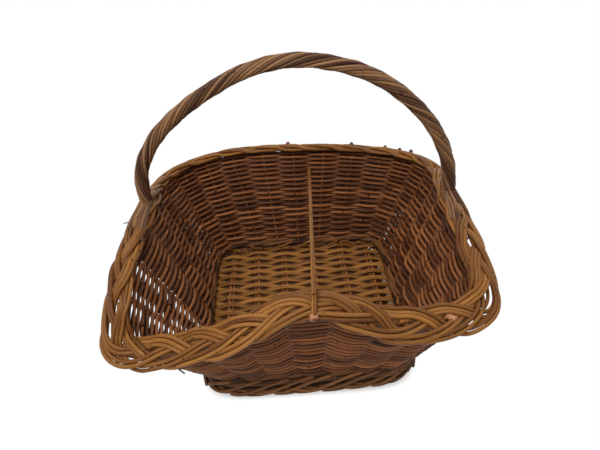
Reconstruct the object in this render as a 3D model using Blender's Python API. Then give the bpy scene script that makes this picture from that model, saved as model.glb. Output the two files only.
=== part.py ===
"""Willow fruit basket: a woven rectangular bowl with a wavy plaited border,
a roped bow handle over its length, a cross tie over its width and a foot border.

Metres, +Z up. The origin is on the ground under the middle of the basket's box, +X runs along
the handle to the right and +Y runs to the back.
"""
import math

import bmesh
import bpy
from mathutils import Vector

# Clearance between pieces that touch on the real basket
SEAT_GAP = 0.0004
WEAVE_EASE = 0.0004
FLOOR_GAP = 0.0008
STAKE_END_GAP = 0.0010
HANDLE_GAP = 0.0008

# Bowl: middle of the walls at their lower edge
BASE_HALF_LENGTH = 0.127
BASE_HALF_WIDTH = 0.132
BASE_CORNER_POWER = 8
UPSETT_HEIGHT = 0.0145
UPSETT_THICKNESS = 0.010
UPSETT_SAMPLES = 128

# Foot border: a plaited ring under the edge of the bowl
FOOT_LENGTH_OUTSET = 0.004
FOOT_WIDTH_OUTSET = -0.001
FOOT_CORNER_POWER = 6
FOOT_HEIGHT = 0.0215
FOOT_THICKNESS = 0.012
FOOT_SOLE_WIDTH = 0.009
FOOT_BULGE = 0.0012
FOOT_BULGES = 30
FOOT_BULGE_SAMPLES = 3
FOOT_BELLY_SHARE = 0.45

# Floor: rods woven left to right round sticks that run front to back
FLOOR_ROWS = 10
FLOOR_ROW_THICKNESS = 0.0024
FLOOR_ROW_SPLIT = 0.0012
FLOOR_ROWS_SHARE = 0.95
FLOOR_STICKS = 6
FLOOR_STICK_RADIUS = 0.0030

# Bowl: largest reach and height of the border's centre line
RIM_HALF_LENGTH = 0.194
RIM_HALF_WIDTH = 0.182
RIM_HEIGHT = 0.200

# Border: a broad flat rope of three bundles, its outer edge lower than its inner one
BORDER_HALF_BREADTH = 0.0210
BORDER_HALF_THICKNESS = 0.0056
BORDER_TILT = math.radians(28)
BORDER_STRANDS = 3
BORDER_TURNS = 10
BORDER_SPLIT_SHARE = 0.03
BORDER_SAMPLES = 120

# Walls: stakes that fan out from the floor's edge, and the rounds woven about them
STAKES = 24
STAKE_RADIUS = 0.0022
WALL_ROUNDS = 8
ROUND_THICKNESS = 0.0026
ROUND_SPLIT = 0.0008
ROUND_EASE = 0.0010
FLAT_SHARE = 0.1

# Handle: a bow with roped strands over it
HANDLE_APEX = 0.369
BOW_RADIUS = 0.0032
BOW_SIDES = 8
LEG_START_SHARE = 0.02
LEG_SAMPLES = 5
HANDLE_STRANDS = 4
HANDLE_STRAND_THICKNESS = 0.0046
HANDLE_SHOULDER_SHARE = 0.86
HANDLE_CROWN_SHARE = 0.5
HANDLE_TURNS = 3
HANDLE_SAMPLES = 48
HANDLE_START_STEP = 0.0005

# Cross tie from the front border to the back wall
TIE_RADIUS = 0.0025
TIE_BACK_X = 0.0227
TIE_BACK_SHARE = 0.80
LASHING_WIDTH = 0.005
LASHING_THICKNESS = 0.0022
LASHING_SIDE_GAP = 0.0013
LASHING_START = math.radians(-50)
LASHING_SWEEP = math.radians(280)
LASHING_SAMPLES = 30

# Sides of a plain rod and of a border strand
ROD_SIDES = 6

# Rim corners and mid sides, counterclockwise from the middle of the right side, as
# shares of the rim's half length, half width and height and of the border's half breadth
RIM_SHARES = [
    (0.950, 0.000, 0.950, 0.70),
    (0.990, 0.489, 0.878, 0.74),
    (0.848, 0.804, 0.840, 0.78),
    (0.469, 0.990, 0.834, 0.68),
    (0.000, 0.994, 0.868, 0.66),
    (-0.479, 0.990, 0.864, 0.68),
    (-0.848, 0.808, 0.850, 0.74),
    (-0.984, 0.484, 0.868, 0.72),
    (-0.936, 0.000, 1.000, 0.74),
    (-1.008, -0.540, 0.905, 0.88),
    (-0.995, -0.890, 0.630, 0.94),
    (-0.459, -1.008, 0.800, 0.84),
    (0.000, -0.989, 0.955, 0.72),
    (0.490, -1.008, 0.815, 0.86),
    (0.935, -0.872, 0.750, 0.98),
    (0.948, -0.520, 0.910, 0.96),
]
RIM_POINTS = len(RIM_SHARES)
SIDE_POINTS = RIM_POINTS // 4
RIGHT, BACK, LEFT, FRONT = (quarter * SIDE_POINTS for quarter in range(4))

# Handle's centre line from the right rim to the left, as shares of its half span and
# rise; the first and last rows lie below the rim and only lead the curve in and out
HANDLE_SHARES = [
    (0.970, -0.259),
    (1.000, 0.000),
    (0.970, 0.259),
    (0.866, 0.500),
    (0.704, 0.705),
    (0.500, 0.864),
    (0.259, 0.963),
    (0.000, 1.000),
    (-0.259, 0.959),
    (-0.500, 0.851),
    (-0.715, 0.703),
    (-0.880, 0.520),
    (-0.985, 0.275),
    (-1.000, 0.000),
    (-0.985, -0.275),
]
HANDLE_SPANS = len(HANDLE_SHARES) - 3

# Colour and roughness of each kind of willow rod
BROWN_ROD = ((0.235, 0.105, 0.045, 1.0), 0.62)
GOLDEN_ROD = ((0.330, 0.165, 0.062, 1.0), 0.55)
DARK_ROD = ((0.150, 0.066, 0.032, 1.0), 0.66)
OLIVE_ROD = ((0.215, 0.125, 0.055, 1.0), 0.58)

# Sizes that follow from the ones above
UPSETT_FOOT = FOOT_HEIGHT + SEAT_GAP
UPSETT_TOP = UPSETT_FOOT + UPSETT_HEIGHT
WALL_FOOT = UPSETT_TOP + SEAT_GAP
FLOOR_HALF_LENGTH = BASE_HALF_LENGTH - UPSETT_THICKNESS / 2 - FLOOR_GAP
FLOOR_HALF_WIDTH = BASE_HALF_WIDTH - UPSETT_THICKNESS / 2 - FLOOR_GAP
FLOOR_SWING = FLOOR_STICK_RADIUS + WEAVE_EASE + FLOOR_ROW_THICKNESS / 2
FLOOR_LEVEL = UPSETT_FOOT + FLOOR_SWING + FLOOR_ROW_THICKNESS / 2
FLOOR_STICK_SPACING = 2 * FLOOR_HALF_LENGTH / FLOOR_STICKS
STAKE_STEP = RIM_POINTS / STAKES
PROBE_STEP = STAKE_STEP / 8
ROUND_REACH = STAKE_RADIUS + ROUND_EASE + ROUND_THICKNESS
BOW_ROUND_REACH = BOW_RADIUS + ROUND_EASE + ROUND_THICKNESS
STRAND_SPREAD = math.sin(math.pi / BORDER_STRANDS)
STRAND_SHARE = (STRAND_SPREAD - BORDER_SPLIT_SHARE) / (STRAND_SPREAD + 1)
CUTTER_RADIUS = BOW_RADIUS + WEAVE_EASE
HANDLE_INNER = BOW_RADIUS + WEAVE_EASE
HANDLE_OUTER = HANDLE_INNER + HANDLE_STRAND_THICKNESS
TIE_FRONT_X = STAKE_RADIUS + LASHING_SIDE_GAP + LASHING_WIDTH / 2
TIE_BACK_INSET = ROUND_REACH + SEAT_GAP


def willow(name, finish):
    """Principled material of one kind of rod: base colour and roughness."""
    colour, roughness = finish
    material = bpy.data.materials.new(name)
    material.use_nodes = True
    shader = material.node_tree.nodes["Principled BSDF"]
    shader.inputs["Base Color"].default_value = colour
    shader.inputs["Roughness"].default_value = roughness
    shader.inputs["Metallic"].default_value = 0
    return material


def add_piece(name, mesh, finish, parent, origin=Vector((0, 0, 0))):
    """A named sub-part with its own material, placed by its location."""
    piece = bpy.data.objects.new(name, mesh)
    mesh.materials.append(willow(name, finish))
    piece.parent = parent
    piece.location = origin
    bpy.context.scene.collection.objects.link(piece)
    return piece


def loft(name, rings, closed):
    """Skin a run of rings of points; a closed run joins its last ring to its first."""
    shape = bmesh.new()
    rows = [[shape.verts.new(point) for point in ring] for ring in rings]
    pairs = list(zip(rows, rows[1:]))
    if closed:
        pairs.append((rows[-1], rows[0]))
    for row, following in pairs:
        for corner in range(len(row)):
            beside = (corner + 1) % len(row)
            shape.faces.new((row[corner], row[beside], following[beside], following[corner]))
    if not closed:
        shape.faces.new(reversed(rows[0]))
        shape.faces.new(rows[-1])
    bmesh.ops.recalc_face_normals(shape, faces=shape.faces)
    mesh = bpy.data.meshes.new(name)
    shape.to_mesh(mesh)
    shape.free()
    return mesh


def circle(middle, first, second, radius, sides):
    """Ring of points about a middle, in the plane of two directions."""
    ring = []
    for side in range(sides):
        angle = math.tau * side / sides
        ring.append(middle + (first * math.cos(angle) + second * math.sin(angle)) * radius)
    return ring


def rod(name, start, end, radius, finish, parent):
    """A straight round rod between two points."""
    axis = end - start
    first = axis.orthogonal().normalized()
    second = axis.cross(first).normalized()
    middles = (Vector((0, 0, 0)), axis)
    rings = [circle(middle, first, second, radius, ROD_SIDES) for middle in middles]
    return add_piece(name, loft(name, rings, False), finish, parent, start)


def around_square(place):
    """Point on a unit square's edge, counterclockwise from the middle of its right side."""
    side = place / SIDE_POINTS % 4
    turn = round(side) % 4
    slide = (side - round(side)) * 2
    x, y = 1, slide
    for _ in range(turn):
        x, y = -y, x
    return x, y


def outline(place, half_length, half_width, height, power=BASE_CORNER_POWER):
    """Point on a rectangle with round corners."""
    x, y = around_square(place)
    shrink = (abs(x) ** power + abs(y) ** power) ** (-1 / power)
    return Vector((x * shrink * half_length, y * shrink * half_width, height))


def smooth_row(table, place):
    """Row at any place in a table: a smooth curve through its rows."""
    first = math.floor(place)
    step = place - first
    near = [table[(first + offset) % len(table)] for offset in (-1, 0, 1, 2)]
    shares = []
    for before, start, end, after in zip(*near):
        bend = 2 * before - 5 * start + 4 * end - after
        twist = 3 * start - before - 3 * end + after
        shares.append(start + (step * (end - before) + step ** 2 * bend + step ** 3 * twist) / 2)
    return shares


def rim(place):
    """Point on the border's centre line."""
    x, y, z, _ = smooth_row(RIM_SHARES, place)
    return Vector((x * RIM_HALF_LENGTH, y * RIM_HALF_WIDTH, z * RIM_HEIGHT))


def half_breadth(place):
    """Half of the border's breadth."""
    return smooth_row(RIM_SHARES, place)[-1] * BORDER_HALF_BREADTH


def border_frame(place):
    """Directions across the border's breadth, outwards, and up through its thickness."""
    along = (rim(place + PROBE_STEP) - rim(place - PROBE_STEP)).normalized()
    out = along.cross(Vector((0, 0, 1))).normalized()
    up = out.cross(along)
    across = out * math.cos(BORDER_TILT) - up * math.sin(BORDER_TILT)
    through = up * math.cos(BORDER_TILT) + out * math.sin(BORDER_TILT)
    return across, through


def border_reach(place, direction):
    """How far the border reaches from its centre line along a direction."""
    across, through = border_frame(place)
    spread = half_breadth(place) * across.dot(direction)
    return math.hypot(spread, BORDER_HALF_THICKNESS * through.dot(direction))


def wall(place, rise):
    """Point on the wall's middle surface: rise runs from 0 at its foot to 1 at the rim."""
    return outline(place, BASE_HALF_LENGTH, BASE_HALF_WIDTH, WALL_FOOT).lerp(rim(place), rise)


def wall_line(place):
    """Vector from the wall's foot to the rim."""
    return wall(place, 1) - wall(place, 0)


def wall_normal(place, rise):
    """Outward direction of the wall's middle surface."""
    along = wall(place + PROBE_STEP, rise) - wall(place - PROBE_STEP, rise)
    return along.cross(wall_line(place)).normalized()


def wall_top(place):
    """Rise at which the wall meets the underside of the border."""
    line = wall_line(place)
    return 1 - (border_reach(place, line.normalized()) + SEAT_GAP) / line.length


def wall_bottom(place):
    """Rise at which the leaning rounds clear the top of the upsett."""
    return (SEAT_GAP - wall_normal(place, 0).z * BOW_ROUND_REACH) / wall_line(place).z


def is_handle_place(place):
    return place % RIM_POINTS in (RIGHT, LEFT)


def stake_places():
    return [number * STAKE_STEP for number in range(STAKES)]


def build_foot(parent):
    """Plaited ring with a flat sole and one bulge for each of its slanting strands."""
    rings = []
    samples = FOOT_BULGES * FOOT_BULGE_SAMPLES
    half_sole = FOOT_SOLE_WIDTH / 2
    half_thick = FOOT_THICKNESS / 2
    belly = FOOT_HEIGHT * FOOT_BELLY_SHARE
    for number in range(samples):
        place = RIM_POINTS * number / samples
        bulge = FOOT_BULGE * math.cos(math.tau * number / FOOT_BULGE_SAMPLES)
        profile = [
            (-half_sole, 0),
            (half_sole, 0),
            (half_thick + bulge, belly),
            (half_sole, FOOT_HEIGHT),
            (-half_sole, FOOT_HEIGHT),
            (-half_thick, belly),
        ]
        ring = []
        for out, height in profile:
            length = BASE_HALF_LENGTH + FOOT_LENGTH_OUTSET + out
            width = BASE_HALF_WIDTH + FOOT_WIDTH_OUTSET + out
            ring.append(outline(place, length, width, height, FOOT_CORNER_POWER))
        rings.append(ring)
    add_piece("foot_border", loft("foot_border", rings, True), DARK_ROD, parent)


def build_upsett(parent):
    """Thick first round that holds the floor's edge and the feet of the stakes."""
    half_thick = UPSETT_THICKNESS / 2
    profile = [
        (-half_thick, UPSETT_FOOT),
        (half_thick, UPSETT_FOOT),
        (half_thick, UPSETT_TOP),
        (-half_thick, UPSETT_TOP),
    ]
    rings = []
    for number in range(UPSETT_SAMPLES):
        place = RIM_POINTS * number / UPSETT_SAMPLES
        ring = []
        for out, height in profile:
            ring.append(outline(place, BASE_HALF_LENGTH + out, BASE_HALF_WIDTH + out, height))
        rings.append(ring)
    add_piece("upsett_wale", loft("upsett_wale", rings, True), DARK_ROD, parent)


def corner_share(offset, half_size):
    """How much of the floor's other half size is left at an offset from its middle."""
    return (1 - (offset / half_size) ** BASE_CORNER_POWER) ** (1 / BASE_CORNER_POWER)


def floor_stick_places():
    middle = (FLOOR_STICKS - 1) / 2
    return [(number - middle) * FLOOR_STICK_SPACING for number in range(FLOOR_STICKS)]


def build_floor_sticks(parent):
    """Straight sticks that run from the front to the back of the floor."""
    for number, x in enumerate(floor_stick_places(), 1):
        reach = FLOOR_HALF_WIDTH * corner_share(abs(x) + FLOOR_STICK_RADIUS, FLOOR_HALF_LENGTH)
        start = Vector((x, -reach, FLOOR_LEVEL))
        end = Vector((x, reach, FLOOR_LEVEL))
        rod(f"floor_stick_{number}", start, end, FLOOR_STICK_RADIUS, BROWN_ROD, parent)


def floor_stations(row, reach):
    """Distance along a floor row and its lift there: over and under the sticks by turns."""
    flat = FLOOR_STICK_SPACING * FLAT_SHARE
    stations = []
    for number, x in enumerate(floor_stick_places()):
        lift = FLOOR_SWING if (number + row) % 2 else -FLOOR_SWING
        stations += [(x - flat, lift), (x + flat, lift)]
    return [(-reach, stations[0][1])] + stations + [(reach, stations[-1][1])]


def build_floor_rows(parent):
    """Rows of rods that pass over and under the floor's sticks."""
    half_width = FLOOR_HALF_WIDTH * FLOOR_ROWS_SHARE
    pitch = 2 * half_width / FLOOR_ROWS
    for row in range(FLOOR_ROWS):
        front = -half_width + row * pitch + FLOOR_ROW_SPLIT / 2
        back = front + pitch - FLOOR_ROW_SPLIT
        furthest = max(abs(front), abs(back))
        reach = FLOOR_HALF_LENGTH * corner_share(furthest, FLOOR_HALF_WIDTH)
        rings = []
        for x, lift in floor_stations(row, reach):
            low = FLOOR_LEVEL + lift - FLOOR_ROW_THICKNESS / 2
            high = low + FLOOR_ROW_THICKNESS
            corners = ((front, low), (back, low), (back, high), (front, high))
            rings.append([Vector((x, y, z)) for y, z in corners])
        name = f"floor_weave_{row + 1:02d}"
        add_piece(name, loft(name, rings, False), GOLDEN_ROD, parent)


def build_stakes(parent):
    """Side stakes from the upsett to the border; the handle's bow stands in for two."""
    numbers = iter(range(1, STAKES + 1))
    for place in stake_places():
        if is_handle_place(place):
            continue
        lean = wall_line(place).normalized()
        lift = STAKE_RADIUS * math.sqrt(1 - lean.z ** 2) / lean.z
        start = wall(place, 0) + lean * lift
        end = rim(place) - lean * (border_reach(place, lean) + STAKE_END_GAP)
        rod(f"side_stake_{next(numbers):02d}", start, end, STAKE_RADIUS, BROWN_ROD, parent)


def round_ring(place, level, swing):
    """Cross-section of one woven round, a swing away from the wall's middle surface."""
    bottom = wall_bottom(place)
    pitch = (wall_top(place) - bottom) / WALL_ROUNDS
    half_split = ROUND_SPLIT / wall_line(place).length / 2
    low = bottom + pitch * level + half_split
    high = bottom + pitch * (level + 1) - half_split
    inner = swing - ROUND_THICKNESS / 2
    outer = swing + ROUND_THICKNESS / 2
    corners = ((low, inner), (low, outer), (high, outer), (high, inner))
    return [wall(place, rise) + wall_normal(place, rise) * out for rise, out in corners]


def build_wall(parent):
    """Closed rounds that pass outside and inside the stakes by turns."""
    for level in range(WALL_ROUNDS):
        rings = []
        for number, place in enumerate(stake_places()):
            reach = BOW_ROUND_REACH if is_handle_place(place) else ROUND_REACH
            side = 1 if (number + level) % 2 else -1
            swing = side * (reach - ROUND_THICKNESS / 2)
            rings.append(round_ring(place - FLAT_SHARE * STAKE_STEP, level, swing))
            rings.append(round_ring(place + FLAT_SHARE * STAKE_STEP, level, swing))
            rings.append(round_ring(place + STAKE_STEP / 2, level, 0))
        name = f"wall_weave_{level + 1}"
        add_piece(name, loft(name, rings, True), BROWN_ROD, parent)


def border_ring(place, turn):
    """Cross-section of one bundle: a strand of a round rope, pressed to the border's breadth."""
    across, through = border_frame(place)
    ring = []
    for side in range(ROD_SIDES):
        angle = turn + math.tau * side / ROD_SIDES
        spread = (1 - STRAND_SHARE) * math.cos(turn) + STRAND_SHARE * math.cos(angle)
        lift = (1 - STRAND_SHARE) * math.sin(turn) + STRAND_SHARE * math.sin(angle)
        away = across * half_breadth(place) * spread + through * BORDER_HALF_THICKNESS * lift
        ring.append(rim(place) + away)
    return ring


def build_border(parent, cutters):
    """Three bundles laid round the rim, pierced where the handle's bow goes down."""
    for strand in range(BORDER_STRANDS):
        rings = []
        for number in range(BORDER_SAMPLES):
            laps = BORDER_TURNS * number / BORDER_SAMPLES + strand / BORDER_STRANDS
            rings.append(border_ring(RIM_POINTS * number / BORDER_SAMPLES, math.tau * laps))
        name = f"border_strand_{strand + 1}"
        piece = add_piece(name, loft(name, rings, True), GOLDEN_ROD, parent)
        for cutter in cutters:
            hole = piece.modifiers.new("bow hole", "BOOLEAN")
            hole.operation = "DIFFERENCE"
            hole.object = cutter


def arch(share):
    """Point on the handle's centre line, which runs from the right rim to the left."""
    across, rise = smooth_row(HANDLE_SHARES, 1 + HANDLE_SPANS * share)
    middle = (rim(RIGHT) + rim(LEFT)) / 2
    spring = middle + (rim(RIGHT) - middle) * across
    return spring + Vector((0, 0, HANDLE_APEX - spring.z)) * rise


def arch_frame(share):
    """Directions square to the handle's centre line: towards its middle, and back."""
    step = 1 / HANDLE_SAMPLES
    along = (arch(share + step) - arch(share - step)).normalized()
    back = Vector((0, 1, 0))
    return along.cross(back).normalized(), back


def arch_start(clearance):
    """Share of the arch that lies inside the border and a clearance over it."""
    reach = max(border_reach(place, Vector((0, 0, 1))) for place in (RIGHT, LEFT))
    share = 0
    while min(arch(share).z - rim(RIGHT).z, arch(1 - share).z - rim(LEFT).z) < reach + clearance:
        share += HANDLE_START_STEP
    return share


def bent_rod(name, points, radius):
    """Mesh of a round rod along a run of points in the handle's upright plane."""
    back = Vector((0, 1, 0))
    rings = []
    for number, point in enumerate(points):
        before = points[max(number - 1, 0)]
        after = points[min(number + 1, len(points) - 1)]
        inward = (after - before).normalized().cross(back)
        rings.append(circle(point, inward, back, radius, BOW_SIDES))
    return loft(name, rings, False)


def bow_points():
    """Route of the bow: up inside the right wall, over the arch and down the left."""
    rises = []
    for number in range(LEG_SAMPLES + 1):
        rises.append(LEG_START_SHARE + (1 - LEG_START_SHARE) * number / LEG_SAMPLES)
    right = [wall(RIGHT, rise) for rise in rises]
    left = [wall(LEFT, rise) for rise in reversed(rises)]
    inner = arch_start(0) / 2
    span = 1 - 2 * inner
    middle = [arch(inner + span * number / HANDLE_SAMPLES) for number in range(HANDLE_SAMPLES + 1)]
    return right + middle + left


def build_bow(parent):
    """The bow, and the two hidden cutters that make room for it in the border."""
    add_piece("handle_bow", bent_rod("handle_bow", bow_points(), BOW_RADIUS), BROWN_ROD, parent)
    cutters = []
    spring = arch_start(0) / 2
    for side, place, share in (("right", RIGHT, spring), ("left", LEFT, 1 - spring)):
        end = arch(share)
        foot = rim(place) - wall_line(place).normalized() * BORDER_HALF_BREADTH
        top = end + Vector((0, 0, BORDER_HALF_BREADTH))
        name = f"bow_cutter_{side}"
        mesh = bent_rod(name, [foot, rim(place), end, top], CUTTER_RADIUS)
        cutter = add_piece(name, mesh, BROWN_ROD, parent)
        cutter.hide_render = True
        cutter.display_type = "WIRE"
        cutters.append(cutter)
    return cutters


def strand_profile():
    """Distance from the bow and angle about it of one roped strand's corners."""
    half_slot = math.pi / HANDLE_STRANDS
    ease = WEAVE_EASE / HANDLE_INNER
    corner = HANDLE_INNER / math.cos(half_slot - ease)
    shoulder = HANDLE_OUTER * HANDLE_SHOULDER_SHARE
    crown = half_slot * HANDLE_CROWN_SHARE
    return [
        (corner, -half_slot + ease),
        (shoulder, -half_slot + ease / 2),
        (HANDLE_OUTER, -crown),
        (HANDLE_OUTER, crown),
        (shoulder, half_slot - ease / 2),
        (corner, half_slot - ease),
    ]


def build_handle_strands(parent):
    """Roped strands that cover the bow above the border, laid to the left."""
    first = arch_start(HANDLE_GAP)
    for strand in range(HANDLE_STRANDS):
        rings = []
        for number in range(HANDLE_SAMPLES + 1):
            share = first + (1 - 2 * first) * number / HANDLE_SAMPLES
            inward, back = arch_frame(share)
            turn = math.tau * (HANDLE_TURNS * number / HANDLE_SAMPLES + strand / HANDLE_STRANDS)
            ring = []
            for radius, angle in strand_profile():
                spoke = inward * math.cos(turn + angle) + back * math.sin(turn + angle)
                ring.append(arch(share) + spoke * radius)
            rings.append(ring)
        name = f"handle_strand_{strand + 1}"
        add_piece(name, loft(name, rings, False), OLIVE_ROD, parent)


def place_beside(middle, x):
    """Place on the rim a short way from the middle of the front or back side."""
    stride = (rim(middle + 1).x - rim(middle - 1).x) / 2
    return middle + x / stride


def build_tie(parent):
    """Lashing hooked over the front border, and the rod from it to the back wall."""
    place = place_beside(FRONT, TIE_FRONT_X)
    across, through = border_frame(place)
    half_width = through.cross(across) * LASHING_WIDTH / 2
    facet = math.cos(LASHING_SWEEP / LASHING_SAMPLES / 2)
    rings = []
    for number in range(LASHING_SAMPLES + 1):
        angle = LASHING_START + LASHING_SWEEP * number / LASHING_SAMPLES
        skins = []
        for gap in (WEAVE_EASE, WEAVE_EASE + LASHING_THICKNESS):
            spread = across * (half_breadth(place) + gap) * math.cos(angle)
            lift = through * (BORDER_HALF_THICKNESS + gap) * math.sin(angle)
            skins.append(rim(place) + (spread + lift) / facet)
        near, far = skins
        rings.append([near - half_width, near + half_width, far + half_width, far - half_width])
    add_piece("tie_lashing", loft("tie_lashing", rings, False), GOLDEN_ROD, parent)

    back_place = place_beside(BACK, TIE_BACK_X)
    back = wall(back_place, TIE_BACK_SHARE)
    back -= wall_normal(back_place, TIE_BACK_SHARE) * TIE_BACK_INSET
    back.x = TIE_BACK_X
    axis = (back - rim(place)).normalized()
    outer = WEAVE_EASE + LASHING_THICKNESS
    spread = across * (half_breadth(place) + outer) / facet
    lift = through * (BORDER_HALF_THICKNESS + outer) / facet
    seat = (spread * spread.dot(axis) + lift * lift.dot(axis)) / math.hypot(spread.dot(axis), lift.dot(axis))
    front = rim(place) + seat + axis * SEAT_GAP
    front.x = TIE_FRONT_X
    rod("cross_tie", front, back, TIE_RADIUS, GOLDEN_ROD, parent)


def centre(basket):
    """Move the basket so that its box stands evenly about the origin."""
    pieces = [piece for piece in basket.children if not piece.hide_render]
    for axis in (0, 1):
        reach = []
        for piece in pieces:
            reach += [vert.co[axis] + piece.location[axis] for vert in piece.data.vertices]
        basket.location[axis] = -(min(reach) + max(reach)) / 2


def main():
    for leftover in list(bpy.data.objects):
        bpy.data.objects.remove(leftover, do_unlink=True)
    basket = bpy.data.objects.new("basket", None)
    bpy.context.scene.collection.objects.link(basket)
    build_foot(basket)
    build_upsett(basket)
    build_floor_sticks(basket)
    build_floor_rows(basket)
    build_stakes(basket)
    build_wall(basket)
    cutters = build_bow(basket)
    build_border(basket, cutters)
    build_handle_strands(basket)
    build_tie(basket)
    centre(basket)


main()
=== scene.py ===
"""Willow fruit basket: the separate rods of its weave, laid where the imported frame
has its bands and strands, on a pale studio floor."""
import math

import bpy
import numpy as np
from mathutils import Matrix, Vector


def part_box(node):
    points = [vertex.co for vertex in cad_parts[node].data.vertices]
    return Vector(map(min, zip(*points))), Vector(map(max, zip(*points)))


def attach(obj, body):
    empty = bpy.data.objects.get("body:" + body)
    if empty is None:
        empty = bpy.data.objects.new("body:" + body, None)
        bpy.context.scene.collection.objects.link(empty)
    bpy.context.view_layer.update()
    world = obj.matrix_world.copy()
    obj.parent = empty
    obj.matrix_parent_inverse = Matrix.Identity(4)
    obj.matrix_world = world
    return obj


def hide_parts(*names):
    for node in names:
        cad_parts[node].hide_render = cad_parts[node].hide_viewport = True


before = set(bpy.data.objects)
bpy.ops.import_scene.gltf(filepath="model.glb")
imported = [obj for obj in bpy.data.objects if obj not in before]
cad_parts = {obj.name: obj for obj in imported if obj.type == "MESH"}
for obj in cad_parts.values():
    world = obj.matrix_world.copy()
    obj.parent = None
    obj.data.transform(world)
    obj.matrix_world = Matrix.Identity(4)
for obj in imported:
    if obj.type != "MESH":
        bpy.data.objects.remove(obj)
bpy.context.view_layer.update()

bl_info = {
    "name": "Willow fruit basket",
    "version": (1, 0, 0),
    "blender": (4, 5, 0),
    "location": "View3D > Sidebar > Basket",
    "description": "Builds a woven willow fruit basket rod by rod",
    "category": "Add Mesh",
}

BODY = "root"
WHITE = (1, 1, 1, 1)
UP = np.array((0.0, 0.0, 1.0))
RIGHTWARD = np.array((1.0, 0.0, 0.0))
BACKWARD = np.array((0.0, 1.0, 0.0))

# Bowl of the frame, in metres
FOOT_LOW, FOOT_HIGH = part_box("foot_border")
MIDDLE = np.array(((FOOT_LOW.x + FOOT_HIGH.x) / 2, (FOOT_LOW.y + FOOT_HIGH.y) / 2, 0.0))
FOOT_TOP = FOOT_HIGH.z
WALL_FOOT = 0.0368
UPSETT_TOP = 0.0364
FLOOR_LEVEL = 0.0277
FLOOR_HALF_LENGTH = 0.1232
FLOOR_HALF_WIDTH = 0.1262
RIM_HALF_LENGTH = 0.194
RIM_HALF_WIDTH = 0.182
RIM_HEIGHT = 0.200
HANDLE_APEX = 0.369
BORDER_HALF_BREADTH = 0.0210
BORDER_HALF_THICKNESS = 0.0056
BORDER_TILT = math.radians(28)
WALL_CLEARANCE = 0.0066

# Rings: half length, half width and the power that rounds their corners
BASE_CORNER_POWER = 8
FOOT_CORNER_POWER = 6
BASE = (0.127, 0.132, BASE_CORNER_POWER)
FOOT = (0.1325, 0.131, FOOT_CORNER_POWER)

# Border corners and mid sides, counterclockwise from the middle of the right side, as
# shares of the border's half length, half width, height and broadest half breadth
RIM_SHARES = [
    (0.950, 0.000, 0.950, 0.70),
    (0.990, 0.489, 0.878, 0.74),
    (0.848, 0.804, 0.840, 0.78),
    (0.469, 0.990, 0.834, 0.68),
    (0.000, 0.994, 0.868, 0.66),
    (-0.479, 0.990, 0.864, 0.68),
    (-0.848, 0.808, 0.850, 0.74),
    (-0.984, 0.484, 0.868, 0.72),
    (-0.936, 0.000, 1.000, 0.74),
    (-1.014, -0.540, 0.905, 0.93),
    (-1.014, -0.867, 0.628, 0.92),
    (-0.475, -1.024, 0.786, 0.86),
    (0.000, -0.989, 0.955, 0.72),
    (0.505, -1.018, 0.801, 0.92),
    (0.942, -0.853, 0.755, 0.93),
    (0.961, -0.530, 0.906, 0.97),
]
RIM_SIZES = np.array((RIM_HALF_LENGTH, RIM_HALF_WIDTH, RIM_HEIGHT, BORDER_HALF_BREADTH))
RIM = np.array(RIM_SHARES) * RIM_SIZES + np.append(MIDDLE, 0)
RIM_POINTS = len(RIM)
SIDE_POINTS = RIM_POINTS // 4
RIGHT, LEFT, FRONT = 0, 2 * SIDE_POINTS, 3 * SIDE_POINTS
RIM_GRID = 2000
# Distance to either side, in places and in shares of the arch, at which directions are taken
PROBE = 0.06
ARCH_PROBE = 0.002

# Handle's centre line from the right rim to the left, as shares of its half span and
# rise; the first and last rows lie below the rim and only lead the curve in and out
HANDLE_SHARES = np.array([
    (0.970, -0.259),
    (1.000, 0.000),
    (0.970, 0.259),
    (0.866, 0.500),
    (0.701, 0.700),
    (0.496, 0.861),
    (0.259, 0.961),
    (0.000, 1.000),
    (-0.259, 0.955),
    (-0.495, 0.838),
    (-0.704, 0.690),
    (-0.877, 0.510),
    (-0.991, 0.272),
    (-1.000, 0.000),
    (-0.985, -0.275),
])
HANDLE_SPANS = len(HANDLE_SHARES) - 3

# Rods: sides of each, and the length of bark from anywhere on which each takes its own
ROD_SIDES = 8
BARK_LENGTH = 50

# First random seed of each group of rods
SEEDS = {"foot": 11, "upsett": 12, "sticks": 21, "stakes": 31, "floor": 40, "walls": 60, "border": 80,
         "cut ends": 84, "bow": 101, "handle": 110, "tie": 121, "wrap": 122, "knot": 123}

# Below, SHADES are the range of a group's rods from 0, dark, to 1. THICKNESSES, LENGTHS and
# REACHES are ranges of shares. A WANDER is the waves of a rod's drift along it, and its size.

# Walls
STAKES = 32
STAKE_STEP = RIM_POINTS / STAKES
SAMPLES_PER_STAKE = 12
ROW_CROWDING = 0.18
WALL_BANDS = 8
ROW_SPANS = (10, 10, 12)
ROW_GAP = 0.02
ROW_FILL_SHARE = 1.05
STAKE_SINK_SHARE = 0.006 / WALL_FOOT
STAKE_SAMPLES = 10
STAKE_THICKNESSES = (0.92, 1.05)
STAKE_SHADES = (0.1, 0.6)
BOW_SWELL = 0.0013
BOW_SWELL_REACH = 0.35
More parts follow.
